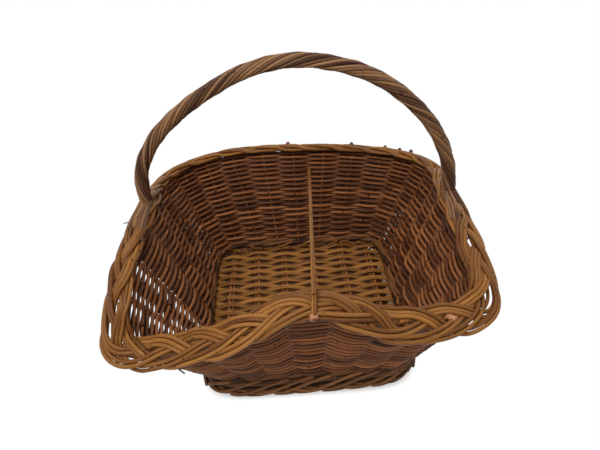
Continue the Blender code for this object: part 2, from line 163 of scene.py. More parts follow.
# Places between which filler rods close the walls, so that light comes only through the front of
# the left one, and how much further those of each nine rows go. The fillers are coloured darkest:
# painted shade in the gaps between rows
PACKED_FROM = 10.0
PACKED_TO = 24.68
PACKED_EXTRAS = (0, 0.5, 0, 0, 0, 0, 1.0, 0, 0)
PACKING_SHARE = 0.42
PACKING_SAMPLES = 6
PACKING_SIDES = 6
PACKING_WANDER = ((3.3, 5.9), 0.0004)
WALL_THICKNESSES = (0.93, 1.03)
WALL_SHADES = (0.2, 0.95)
# Darkest shades: filler and backing rods take them as painted shade in the gaps, the corner stubs the second
# one
PAINTED_SHADE_AND_STUB_SHADES = (0.0, 0.15)
SWING_WANDER = ((3.1, 5.3, 7.7), 0.0003)
SLIDE_WANDER = ((2.3, 4.1, 6.7), 0.0004)

# Upsett: ropes of three rods, laid round the feet of the stakes
WALE_ROPES = 2
WALE_RODS = 3
WALE_TURNS = 11
WALE_SWING = 0.0022
WALE_LIFT = 0.0017
WALE_SAMPLES = 260
WALE_RISE = 0.0045
WALE_FILL_SHARE = 1.02
WALE_SHADES = (0.1, 0.7)

# Floor
STICK_PLACES = (-0.100, -0.064, -0.024, 0.020, 0.064, 0.103)
STICK_SPACING_SHARE = 1.06
STICK_SAMPLES = 12
STICK_WANDER = ((30, 47), 0.0006)
STICK_SHADES = (0.35, 0.9)
FLOOR_SAMPLES = 150
FLOOR_BANDS = 10
FLOOR_LIFT_SHARE = 1.02
FLOOR_SPACING_SHARE = 0.98
FLOOR_THICKNESSES = (0.9, 1.02)
FLOOR_SHADES = (0.35, 0.95)
FLOOR_SIDE_WANDER = ((40, 71, 113), 0.0004)
FLOOR_LIFT_WANDER = ((60, 90), 0.0003)
# Thin darkest rods under the floor's rows: painted shade in the gaps between them
FLOOR_PACKING_SHARE = 0.75
FLOOR_PACKING_DROP = 0.0018
FLOOR_PACKING_STEP = 6
# Loose ends of weavers: their turns are angles in radians from the right, their rises slopes
LOOSE_ENDS = 18
LOOSE_LENGTH = 0.026
LOOSE_LENGTHS = (0.6, 1)
LOOSE_SPREAD_SHARE = 0.86
LOOSE_TURNS = (0.15, 2.9)
LOOSE_FORWARD_SHARE = 0.6
LOOSE_RISES = (0.25, 0.75)
LOOSE_THICKNESSES = (0.5, 0.8)
LOOSE_ROOT = 0.2

# Border plait: each stake's rods cross outwards over the inner half, turn under the outer
# edge, come back inwards over the outer half, and end under the next ones
STROKE_STAKES = 5
OUTWARD_SHARE = 0.36
PLAIT_START_SHARE = -0.20
PLAIT_OVERLAP_SHARE = 0.06
PLAIT_SAMPLES = 64
PLAIT_CORNERING = -0.05
PLAIT_SQUARENESS = 3.0
PLAIT_CROWN = 0.0036
PLAIT_CROWN_BASE = 0.4
PLAIT_LAYER = 0.0024
PLAIT_OUTER_INSET = 0.0030
PLAIT_INNER_INSET = 0.0048
PLAIT_SIDE_WANDER = ((5, 9), 0.0005)
PLAIT_LIFT_WANDER = ((6, 11), 0.0003)
BUNDLES = 3
STROKE_JOG = 0.18
BORDER_THICKNESSES = (0.88, 1.05)
BORDER_SHADES = (0.25, 0.9)
# Dark rods inside the plait, at shares of its half breadth
CORE_SHARES = (-0.3, 0.22, 0.6)
CORE_DROP = 0.0012
CORE_THICKNESS_SHARE = 0.8
CORE_SAMPLES = 400
# Further rods on the first part of each stroke
EXTRA_RODS = 1
EXTRA_END_SHARE = 0.24
ROD_SPACING_SHARE = 0.97

# Ends of rods that poke out of the border: place, share of the half breadth, lean outwards,
# lean upwards, length, thickness and shade
CUT_ENDS = (
    (4.02, 0.1, 0.3, 1, 0.011, 0.0056, 0.2),
    (2.98, 0.2, 0.5, 1, 0.011, 0.0052, 0.1),
    (2.42, 0.3, 0.8, 1, 0.011, 0.0054, 0.0),
    (2.16, 0.3, 0.9, 1, 0.011, 0.0050, 0.1),
    (1.92, 0.2, 0.9, 1, 0.012, 0.0054, 0.0),
    (13.48, -0.2, 1.6, 1.2, 0.009, 0.0070, 1.0),
    (8.22, 0.8, 4.0, 1.5, 0.014, 0.0012, 0.0),
    (10.62, 0.9, 1.0, -2, 0.014, 0.0016, 0.0),
)
CUT_END_SWAY = 0.8
CUT_END_ROOT = 0.3
END_SAMPLES = 6

# Handle
HANDLE_STRANDS = 4
HANDLE_CORE = 0.0044
BOW_LEG_RADIUS = 0.0032
BOW_LEG_LOW, BOW_LEG_HIGH = 0.02, 0.9
BOW_LEG_SAMPLES = 10
BOW_ARCH_SAMPLES = 70
BOW_SHADE = 0.3
HANDLE_ROD_ANGLE = math.radians(29)
HANDLE_SAMPLES = 150
HANDLE_LIFT_SHARE = 1.05
HANDLE_CROWN = 0.0004
HANDLE_TURN_WANDER = ((7, 13), 0.06)
HANDLE_LIFT_WANDER = ((11, 17), 0.0002)
HANDLE_THICKNESSES = (0.92, 1.04)
HANDLE_END_SAMPLES = 14
HANDLE_EMERGENCE = 0.0085
HANDLE_SEARCH_SHARE = 0.1
HANDLE_SHADES = (0.05, 1.0)
# A tucked end's way along the border, in places, and its height over the border by share of the way
TUCK_REACH = 0.55
TUCK_REACHES = (0.85, 1.15)
TUCK_SPREAD = 1.4
TUCK_SHARES = ((0.25, 0.85), (0.5, 0.72), (0.75, 0.45), (1.0, -0.25))
PLACE_LENGTH = 0.070

# Foot: each rod slants down over the first share of its run, and goes on along the ground as a
# strand of a rope, past a number of the rods before it
FOOT_SPAN_RODS = 5.5
FOOT_SAMPLES = 44
FOOT_DROP_SHARE = 0.38
FOOT_EASE = 0.5
FOOT_ROD_TOP = 0.0365
FOOT_ROPE_HEIGHT = 0.0058
FOOT_ROPE_WAVE = 0.0030
FOOT_ROPE_TURNS = 1.0
FOOT_SKIN = 0.0078
FOOT_CORNER_LIFT = 0.0032
FOOT_TUCK_SHARE = 0.65
FOOT_JOG = 0.2
FOOT_TOP_SPREAD = 0.002
FOOT_THICKNESSES = (0.85, 1.05)
FOOT_SHADES = (0.3, 0.95)
# Direction in which the rings of a foot rod start: almost upright, but never along the rod
FOOT_RING_START = UP + RIGHTWARD * 0.01
# Rings behind the slanting rods: heights of the lower ones in half thicknesses, and insets of all.
# They are coloured darkest, as painted shade in the foot's openings
BACKING_LIFTS = (1, 2.9, 4.8, 6.7)
BACKING_INSETS = (0.003, 0.003, 0.004, 0.004, 0.004)
BACKING_THICKNESS_SHARE = 0.9
# Dark rod ends that stand at the front corners
STUB_PLACES = (9.86, 14.28)
STUB_OUT = 0.0062
STUB_BOTTOM = 0.0085
STUB_TOP = 0.034
STUB_SAMPLES = 4

# Tie: its angles, in degrees, go over the border from its outer edge
TIE_FRONT_X = 0.006
TIE_BACK_X = 0.0227
TIE_LIFT = 0.0088
TIE_TAKE_OFF = 125
TIE_WRAP_START = 100
TIE_WRAP_END = -140
TIE_LEAD = 22
TIE_SHARES = (0, 0.3, 0.6, 0.85, 1)
TIE_TIP_SHARE = 0.7
TIE_STRAND_SHARE = 0.55
TIE_STRANDS = ((-1, 0.75), (1, 0.5))
TIE_SAMPLES = 80
KNOT_ANGLE = 38
KNOT_TURNS = 1.6
KNOT_RADIUS = 0.0031
KNOT_THICKNESS_SHARE = 0.6
KNOT_SHADE = 0.9

# Material, roughness and slot of each kind of rod: steamed willow reads brown and satin, buffed
# willow golden and a little glossier, and a fresh cut pale and matt
WILLOWS = {
    "border": ("buffed_golden_willow", 0.45, "border_willow"),
    "wall": ("steamed_brown_willow", 0.5, "wall_willow"),
    "floor": ("buffed_floor_willow", 0.5, "floor_willow"),
    "handle": ("olive_steamed_willow", 0.5, "handle_willow"),
    "foot": ("dark_steamed_willow", 0.55, "foot_willow"),
    "cut": ("fresh_cut_willow", 0.6, "border_willow"),
}
LACQUER = {"Specular IOR Level": 0.16, "Coat Weight": 0.03, "Coat Roughness": 0.35}

# Length and width in metres of a mark in a rod's bark, and how far the marks change its looks
STREAK_SIZE = (0.022, 0.0007)
MOTTLE_SIZE = (0.060, 0.006)
SCAR_SIZE = (0.0060, 0.0032)
STREAK_NOISE = {"Detail": 3, "Roughness": 0.6}
MOTTLE_NOISE = {"Detail": 2, "Roughness": 0.5}
NOISE_ENDS = {"From Min": 0.3, "From Max": 0.7}
PATCH_DEPTH = 0.22
STREAK_DEPTH = 0.16
BUD_THRESHOLD = 0.93
SCAR_ENDS = {"From Min": 0.18, "From Max": 0.36}
SCAR_LIGHTNESS = 0.35
SCAR_RELIEF = 1.5
BARK_RELIEF = 0.00016
RELIEF_STRENGTH = 0.7
GLOSS_DIP, GLOSS_RISE = 0.08, 0.1

# Studio: the shadow kept on the paper round the foot, how white the paper is beyond it, the
# soft light all round, the lamps (name, place, power and size) and the point that they face
PAPER_HALF_SIZE = 6.0
PAPER_ROUGHNESS = 0.9
SHADOW_START = 0.122
SHADOW_END = 0.138
PAPER_GLOW = 1.0
AMBIENT = 0.28
LAMPS = (
    ("key_lamp", (-0.5, -0.7, 1.5), 16, 0.8),
    ("fill_lamp", (0.9, 0.7, 1.5), 6, 1.0),
    ("front_lamp", (-0.05, -0.9, 0.95), 1, 0.2),
)
LAMP_AIM = Vector((0, 0, 0.12))

# Camera: place from the basket's middle, directions, focal length and sensor in millimetres
CAMERA_PLACE = Vector((-0.0118, -0.5873, 0.570))
CAMERA_RIGHT = (0.9978, -0.0510, -0.0424)
CAMERA_UP = (0.0639, 0.5716, 0.8181)
CAMERA_BACK = (-0.0175, -0.8190, 0.5736)
FOCAL_LENGTH = 34.28
SENSOR_WIDTH = 36


def linear(hex_colour):
    """Linear colour of an sRGB hex value."""
    channels = [int(hex_colour[start:start + 2], 16) / 255 for start in (1, 3, 5)]
    return tuple(c / 12.92 if c <= 0.04045 else ((c + 0.055) / 1.055) ** 2.4 for c in channels)


def colour_choice(name, hex_colour):
    return bpy.props.FloatVectorProperty(
        name=name, description=f"Colour of the {name.lower()}", subtype="COLOR", size=3, min=0, max=1,
        default=linear(hex_colour))


def length_choice(name, default):
    return bpy.props.FloatProperty(
        name=name, description=f"Thickness of a {name.lower()}", default=default, min=0.0005, max=0.02,
        unit="LENGTH", precision=4)


def number_choice(name, description, default, low, high):
    return bpy.props.IntProperty(name=name, description=description, default=default, min=low, max=high)


class BasketSizes(bpy.types.PropertyGroup):
    """Thickness and number of the basket's rods"""
    border_rod: length_choice("Border rod", 0.0047)
    border_rods: number_choice("Border bundle", "Rods side by side in a border bundle", 2, 1, 4)
    wall_rod: length_choice("Wall weaver", 0.0042)
    wall_rows: number_choice("Wall rows", "Rows of weavers from the floor to the border", 36, 16, 60)
    stake_rod: length_choice("Side stake", 0.0042)
    floor_rod: length_choice("Floor weaver", 0.0036)
    floor_rows: number_choice("Floor rows", "Rows of paired rods from front to back", 33, 12, 60)
    stick_rod: length_choice("Floor stick", 0.0044)
    handle_rod: length_choice("Handle rod", 0.0036)
    handle_turns: bpy.props.FloatProperty(
        name="Handle turns", description="Turns of the rods round the bow", default=4.5, min=0.5, max=12)
    tie_rod: length_choice("Cross tie", 0.0050)
    foot_rod: length_choice("Foot rod", 0.0044)
    foot_rods: number_choice("Foot rods", "Slanting rods round the foot border", 36, 20, 80)


class BasketColours(bpy.types.PropertyGroup):
    """Darkest and lightest rods of each part of the basket, and the studio floor"""
    border_dark: colour_choice("Darkest border rods", "#52290F")
    border_light: colour_choice("Lightest border rods", "#A87238")
    # The darkest wall, floor and foot colours are the rods' own darkest tone, and also colour the filler and
    # backing rods as painted shade
    wall_dark: colour_choice("Darkest wall rods", "#35170A")
    wall_light: colour_choice("Lightest wall rods", "#A86A3E")
    floor_dark: colour_choice("Darkest floor rods", "#4C2A12")
    floor_light: colour_choice("Lightest floor rods", "#AE7639")
    handle_dark: colour_choice("Darkest handle rods", "#40241A")
    handle_light: colour_choice("Lightest handle rods", "#9C7450")
    foot_dark: colour_choice("Darkest foot rods", "#2E180C")
    foot_light: colour_choice("Lightest foot rods", "#98663C")
    cut_dark: colour_choice("Darkest cut ends", "#4A2A1C")
    cut_light: colour_choice("Lightest cut ends", "#C98C66")
    backdrop: colour_choice("Studio floor", "#CFC6BC")


def choices(context):
    """Sizes and colours set in the panel."""
    return context.scene.basket_sizes, context.scene.basket_colours


def unit(vectors):
    return vectors / np.linalg.norm(vectors, axis=-1, keepdims=True)


def around_square(place):
    """Points on a unit square's edge, counterclockwise from the middle of its right side."""
    side = place / SIDE_POINTS
    turn = np.round(side)
    slide = (side - turn) * 2
    quarter = turn.astype(int) % 4
    edge = np.ones_like(slide)
    x = np.choose(quarter, (edge, -slide, -edge, slide))
    y = np.choose(quarter, (slide, edge, -slide, -edge))
    return x, y


def outline(place, grow, height, ring=BASE):
    """Points of a ring with round corners, grown outwards and lifted to a height."""
    x, y = around_square(place)
    half_length, half_width, power = ring
    shrink = (np.abs(x) ** power + np.abs(y) ** power) ** (-1 / power)
    x, y = x * shrink * (half_length + grow), y * shrink * (half_width + grow)
    return np.stack((x, y, height + np.zeros_like(x)), axis=-1) + MIDDLE


def outline_frame(place, ring=BASE):
    """Forward and outward directions of a ring."""
    along = unit(outline(place + PROBE, 0, 0, ring) - outline(place - PROBE, 0, 0, ring))
    return along, np.cross(along, UP)


def beside_ring(place, out, height, ring=BASE):
    """Points at distances outwards from a ring and at heights over the ground."""
    out, height = (np.broadcast_to(value, place.shape)[:, None] for value in (out, height))
    return outline(place, 0, 0, ring) + outline_frame(place, ring)[1] * out + UP * height


def smooth_row(table, place):
    """Rows at any places in a table: a smooth curve through its rows."""
    first = np.floor(place).astype(int)
    step = (place - first)[..., None]
    before, start, end, after = (table[(first + offset) % len(table)] for offset in (-1, 0, 1, 2))
    bend = 2 * before - 5 * start + 4 * end - after
    twist = 3 * start - before - 3 * end + after
    return start + (step * (end - before) + step ** 2 * bend + step ** 3 * twist) / 2


def rim_row(place):
    """Point on the border's centre line and half breadth there."""
    return smooth_row(RIM, place)


def rim(place):
    return rim_row(place)[..., :3]


def border_frame(place):
    """Directions across the border's breadth, outwards, and through its thickness, up."""
    along = unit(rim(place + PROBE) - rim(place - PROBE))
    out = unit(np.cross(along, UP))
    up = np.cross(out, along)
    cosine, sine = math.cos(BORDER_TILT), math.sin(BORDER_TILT)
    return out * cosine - up * sine, up * cosine + out * sine


def border_spot(place):
    """Point on the border's centre line, half breadth and two directions at a single place."""
    spot = np.array([float(place)])
    out, up = border_frame(spot)
    return rim(spot)[0], rim_row(spot)[0, 3], out[0], up[0]


def rim_distances():
    """Places on the rim and the distance along it to each."""
    places = np.linspace(0, RIM_POINTS, RIM_GRID)
    steps = np.linalg.norm(np.diff(rim(places), axis=0), axis=1)
    return places, np.concatenate(([0], np.cumsum(steps)))


def wall(place, rise):
    """Points of the wall's middle surface: rise runs from 0 at its foot to 1 at the rim."""
    foot = outline(place, 0, WALL_FOOT)
    return foot + (rim(place) - foot) * np.asarray(rise)[..., None]


def wall_slope(place):
    """Vectors up the wall from its foot to the rim."""
    return wall(place, np.ones_like(place)) - wall(place, np.zeros_like(place))


def wall_normal(place, rise):
    along = wall(place + PROBE, rise) - wall(place - PROBE, rise)
    return unit(np.cross(along, wall_slope(place)))


def wall_reach(place):
    """Rise at the lowest row's and the border's underside, and the wall's length up its slope."""
    slope = wall_slope(place)
    length = np.linalg.norm(slope, axis=-1)
    low = -wall_normal(place, np.zeros_like(place))[..., 2] * WALL_CLEARANCE / slope[..., 2]
    across, through = border_frame(place)
    lean = slope / length[..., None]
    spread = rim_row(place)[..., 3] * np.sum(lean * across, axis=-1)
    depth = BORDER_HALF_THICKNESS * np.sum(lean * through, axis=-1)
    return low, 1 - np.hypot(spread, depth) / length, length


def row_level(share):
    """Share of the wall's height reached by a share of its rows, which crowd towards the border."""
    return share + ROW_CROWDING * share * (1 - share)


def short_end(base, aim, root, length):
    """Straight path that starts a share of its length behind a point."""
    return base + aim * np.linspace(-root, 1, END_SAMPLES)[:, None] * length


def smooth_path(points, samples):
    """Evenly stepped smooth curve through a few points."""
    points = np.array(points, float)
    run = np.concatenate((2 * points[:1] - points[1:2], points, 2 * points[-1:] - points[-2:-1]))
    return smooth_row(run, np.linspace(1, len(points), samples))


def wander(chance, places, waves, size):
    """Slow uneven drift along a rod, about a size either way."""
    drift = np.zeros_like(places)
    for wave in waves:
        drift += np.sin(places * wave + chance.uniform(0, math.tau))
    return drift * size / len(waves)


def add_object(name, data):
    """Put an object with its data into the scene."""
    thing = bpy.data.objects.new(name, data)
    bpy.context.scene.collection.objects.link(thing)
    return thing


class Sheaf:
    """Rods joined into one mesh. Each point keeps its place along and about its rod, for
    the pattern of the bark, and the shade of its rod."""

    def __init__(self, name, seed):
        self.name = name
        self.chance = np.random.default_rng(seed)
        self.points, self.faces, self.grain, self.shades = [], [], [], []
        self.count = 0

    def lay(self, path, radius, reference, shade, sides=ROD_SIDES):
        """Add a round rod along a path; the reference direction only sets where its rings start."""
        path = np.asarray(path)
        rings = len(path)
        radius = np.broadcast_to(radius, rings)
        along = unit(np.concatenate((path[1:2] - path[:1], path[2:] - path[:-2], path[-1:] - path[-2:-1])))
        first = unit(reference - along * (along @ reference)[:, None])
        second = np.cross(along, first)
        turns = np.arange(sides) * math.tau / sides
        cosine, sine = np.cos(turns), np.sin(turns)
        spoke = cosine[None, :, None] * first[:, None] + sine[None, :, None] * second[:, None]
        skin = path[:, None] + spoke * radius[:, None, None]
        steps = np.linalg.norm(np.diff(path, axis=0), axis=1)
        run = np.concatenate(([0], np.cumsum(steps))) + self.chance.uniform(0, BARK_LENGTH)
        run = np.broadcast_to(run[:, None], (rings, sides))
        grain = np.stack((run, radius[:, None] * cosine, radius[:, None] * sine), axis=-1)
        corner = np.arange(rings * sides).reshape(rings, sides) + self.count
        beside = np.roll(corner, -1, axis=1)
        quads = np.stack((corner[:-1], beside[:-1], beside[1:], corner[1:]), axis=-1)
        self.faces += quads.reshape(-1, 4).tolist()
        self.faces += [corner[0, ::-1].tolist(), corner[-1].tolist()]
        self.points.append(skin.reshape(-1, 3))
        self.grain.append(grain.reshape(-1, 3))
        self.shades.append(np.full(rings * sides, shade))
        self.count += rings * sides

    def lay_uneven(self, path, radius, thicknesses, shades, reference=UP):
        """Add a rod whose thickness, as a share, and shade are drawn from two ranges."""
        thickness = radius * self.chance.uniform(*thicknesses)
        self.lay(path, thickness, reference, self.chance.uniform(*shades))

    def piece(self, colours, kind, *nodes):
        """Turn all the rods laid so far into a mesh object, which stands for CAD nodes."""
        mesh = bpy.data.meshes.new(self.name)
        mesh.from_pydata(np.concatenate(self.points).tolist(), [], self.faces)
        grain = mesh.attributes.new("grain", "FLOAT_VECTOR", "POINT")
        grain.data.foreach_set("vector", np.concatenate(self.grain).ravel())
        shade = mesh.attributes.new("shade", "FLOAT", "POINT")
        shade.data.foreach_set("value", np.concatenate(self.shades))
        for face in mesh.polygons:
            face.use_smooth = len(face.vertices) == 4
        mesh.materials.append(willow(colours, kind))
        mesh.validate()
        piece = add_object(self.name, mesh)
        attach(piece, BODY)
        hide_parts(*nodes)


def sheaves(name, group, count):
    """Sheaves with numbered names and seeds."""
    return [Sheaf(name.format(number + 1), SEEDS[group] + number) for number in range(count)]


def add_node(tree, kind, inputs, **settings):
    """Add a shader node. Inputs are values, or other nodes' outputs to link."""
    node = tree.nodes.new(kind)
    for name, value in settings.items():
        setattr(node, name, value)
    for name, value in inputs.items():
        if isinstance(value, bpy.types.NodeSocket):
            tree.links.new(value, node.inputs[name])
        else:
            node.inputs[name].default_value = value
    return node


def clear_tree(owner):
    """Emptied node tree of a material or world."""
    owner.use_nodes = True
    owner.node_tree.nodes.clear()
    return owner.node_tree


def seen_directly(tree):
    """1 for camera, glossy and transmission rays, and 0 for the rays that carry soft light."""
    rays = add_node(tree, "ShaderNodeLightPath", {}).outputs
    seen = rays["Is Camera Ray"]
    for ray in ("Is Glossy Ray", "Is Transmission Ray"):
        seen = add_node(tree, "ShaderNodeMath", {0: seen, 1: rays[ray]}, operation="MAXIMUM").outputs[0]
    return seen


def willow(colours, kind):
    """Steamed willow rod, bark on, under a thin clear lacquer: it reads as long fine streaks
    over slow patches of brown, with a dark scar at each bud and a soft sheen along the rod."""
    name, roughness, _ = WILLOWS[kind]
    if name in bpy.data.materials:
        return bpy.data.materials[name]
    dark, light = getattr(colours, f"{kind}_dark"), getattr(colours, f"{kind}_light")
    material = bpy.data.materials.new(name)
    tree = clear_tree(material)
    grain = add_node(tree, "ShaderNodeAttribute", {}, attribute_name="grain").outputs["Vector"]
    shade = add_node(tree, "ShaderNodeAttribute", {}, attribute_name="shade").outputs["Fac"]

    fields = []
    for length, width in (STREAK_SIZE, MOTTLE_SIZE, SCAR_SIZE):
        stretch = (1 / length, 1 / width, 1 / width)
        scaled = add_node(tree, "ShaderNodeVectorMath", {0: grain, 1: stretch}, operation="MULTIPLY")
        fields.append({"Vector": scaled.outputs["Vector"], "Scale": 1})
    streak = add_node(tree, "ShaderNodeTexNoise", {**fields[0], **STREAK_NOISE}).outputs["Fac"]
    mottle = add_node(tree, "ShaderNodeTexNoise", {**fields[1], **MOTTLE_NOISE}).outputs["Fac"]
    buds = add_node(tree, "ShaderNodeTexVoronoi", {**fields[2], "Randomness": 1}).outputs
    bud_chance = add_node(tree, "ShaderNodeSeparateColor", {"Color": buds["Color"]}).outputs["Red"]
    is_bud = add_node(tree, "ShaderNodeMath", {0: bud_chance, 1: BUD_THRESHOLD}, operation="GREATER_THAN")
    near_bud = add_node(tree, "ShaderNodeMapRange", {
        "Value": buds["Distance"], **SCAR_ENDS, "To Min": 1, "To Max": 0})
    scar = add_node(tree, "ShaderNodeMath", {0: is_bud.outputs[0], 1: near_bud.outputs[0]},
                    operation="MULTIPLY").outputs[0]

    patches = add_node(tree, "ShaderNodeMapRange", {
        "Value": mottle, **NOISE_ENDS, "To Min": -PATCH_DEPTH, "To Max": PATCH_DEPTH})
    lines = add_node(tree, "ShaderNodeMapRange", {
        "Value": streak, **NOISE_ENDS, "To Min": -STREAK_DEPTH, "To Max": STREAK_DEPTH})
    drift = add_node(tree, "ShaderNodeMath", {0: patches.outputs[0], 1: lines.outputs[0]}, operation="ADD")
    level = add_node(tree, "ShaderNodeMath", {0: shade, 1: drift.outputs[0]}, operation="ADD",
                     use_clamp=True)
    bark = add_node(tree, "ShaderNodeMix", {0: level.outputs[0], 6: (*dark, 1), 7: (*light, 1)},
                    data_type="RGBA")
    scar_colour = [channel * SCAR_LIGHTNESS for channel in dark]
    scarred = add_node(tree, "ShaderNodeMix", {0: scar, 6: bark.outputs[2], 7: (*scar_colour, 1)},
                       data_type="RGBA")

    height = add_node(tree, "ShaderNodeMath", {0: scar, 1: SCAR_RELIEF, 2: streak}, operation="MULTIPLY_ADD")
    relief = add_node(tree, "ShaderNodeBump", {
        "Strength": RELIEF_STRENGTH, "Distance": BARK_RELIEF, "Height": height.outputs[0]})
    gloss = add_node(tree, "ShaderNodeMapRange", {
        "Value": streak, **NOISE_ENDS, "To Min": roughness - GLOSS_DIP, "To Max": roughness + GLOSS_RISE})
    shader = add_node(tree, "ShaderNodeBsdfPrincipled", {
        "Base Color": scarred.outputs[2], "Roughness": gloss.outputs[0], "Normal": relief.outputs[0],
        **LACQUER})
    add_node(tree, "ShaderNodeOutputMaterial", {"Surface": shader.outputs[0]})
    return material


class BASKET_OT_foot(bpy.types.Operator):
    """Lay the foot border: rods that slant down to the left and run on along the ground"""
    bl_idname = "basket.foot"
    bl_label = "Foot border"

    def execute(self, context):
        sizes, colours = choices(context)
        sheaf = Sheaf("plaited_foot", SEEDS["foot"])
        chance = sheaf.chance
        radius = sizes.foot_rod / 2
        step = RIM_POINTS / sizes.foot_rods
        share = np.linspace(0, 1, FOOT_SAMPLES)
        drop = np.clip(share / FOOT_DROP_SHARE, 0, 1)
        fall = drop * (1 - FOOT_EASE) + drop ** 2 * (3 - 2 * drop) * FOOT_EASE
        along = np.clip((share - FOOT_DROP_SHARE) / (1 - FOOT_DROP_SHARE), 0, 1)
        turn = along * math.tau * FOOT_ROPE_TURNS
        for number in range(sizes.foot_rods):
            place = (number - share * FOOT_SPAN_RODS + chance.uniform(-FOOT_JOG, FOOT_JOG)) * step
            top = FOOT_ROD_TOP + chance.uniform(-FOOT_TOP_SPREAD, FOOT_TOP_SPREAD)
            height = top + (FOOT_ROPE_HEIGHT - top) * fall + FOOT_ROPE_WAVE * np.sin(turn)
            x, y = around_square(place % RIM_POINTS)
            height = height + FOOT_CORNER_LIFT * np.clip(x, 0, 1) * np.clip(-y, 0, 1)
            out = FOOT_SKIN * (1 - fall * FOOT_TUCK_SHARE) + FOOT_ROPE_WAVE * (np.cos(turn) - 1)
            path = beside_ring(place, out, height, FOOT)
            sheaf.lay_uneven(path, radius, FOOT_THICKNESSES, FOOT_SHADES, FOOT_RING_START)
        # Darkest rings behind the slanting rods: painted shade in the openings between them
        lifts = (FOOT_TOP - radius, *(radius * share for share in BACKING_LIFTS))
        for lift, inset in zip(lifts, BACKING_INSETS):
            path = outline(np.linspace(0, RIM_POINTS, WALE_SAMPLES), -inset, lift, FOOT)
            sheaf.lay(path, radius * BACKING_THICKNESS_SHARE, UP, PAINTED_SHADE_AND_STUB_SHADES[0])
        for stub in STUB_PLACES:
            height = np.linspace(STUB_BOTTOM, STUB_TOP, STUB_SAMPLES)
            path = beside_ring(np.full(STUB_SAMPLES, stub), STUB_OUT, height, FOOT)
            sheaf.lay(path, radius, RIGHTWARD, PAINTED_SHADE_AND_STUB_SHADES[1])
        sheaf.piece(colours, "foot", "foot_border")
        return {"FINISHED"}


class BASKET_OT_upsett(bpy.types.Operator):
    """Lay the upsett: ropes of three rods round the feet of the stakes"""
    bl_idname = "basket.upsett"
    bl_label = "Upsett"

    def execute(self, context):
        colours = context.scene.basket_colours
        sheaf = Sheaf("upsett_ropes", SEEDS["upsett"])
        place = np.linspace(0, RIM_POINTS, WALE_SAMPLES * 2)
        rope = (UPSETT_TOP + WALE_RISE - FOOT_TOP) / WALE_ROPES
        radius = (rope / 2 - WALE_LIFT) * WALE_FILL_SHARE
        for level in range(WALE_ROPES):
            for rod in range(WALE_RODS):
                turn = math.tau * (WALE_TURNS * place / RIM_POINTS + rod / WALE_RODS)
                lift = FOOT_TOP + rope * (level + 0.5) + WALE_LIFT * np.sin(turn)
                path = beside_ring(place, WALE_SWING * np.cos(turn), lift)
                sheaf.lay(path, radius, UP, sheaf.chance.uniform(*WALE_SHADES))
        sheaf.piece(colours, "foot", "upsett_wale")
        return {"FINISHED"}


class BASKET_OT_floor_sticks(bpy.types.Operator):
    """Lay the pairs of sticks that run from the front to the back of the floor"""
    bl_idname = "basket.floor_sticks"
    bl_label = "Floor sticks"

    def execute(self, context):
        sizes, colours = choices(context)
        radius = sizes.stick_rod / 2
        pairs = sheaves("floor_stick_pair_{}", "sticks", len(STICK_PLACES))
        for number, (x, sheaf) in enumerate(zip(STICK_PLACES, pairs), 1):
            for side in (-1, 1):
                across = x + side * radius * STICK_SPACING_SHARE
                ends = [(across, y, FLOOR_LEVEL) for y in (-FLOOR_HALF_WIDTH, FLOOR_HALF_WIDTH)]
                path = smooth_path(np.array(ends) + MIDDLE, STICK_SAMPLES)
                path[:, 0] += wander(sheaf.chance, path[:, 1], *STICK_WANDER)
                sheaf.lay(path, radius, UP, sheaf.chance.uniform(*STICK_SHADES))
            sheaf.piece(colours, "wall", f"floor_stick_{number}")
        return {"FINISHED"}


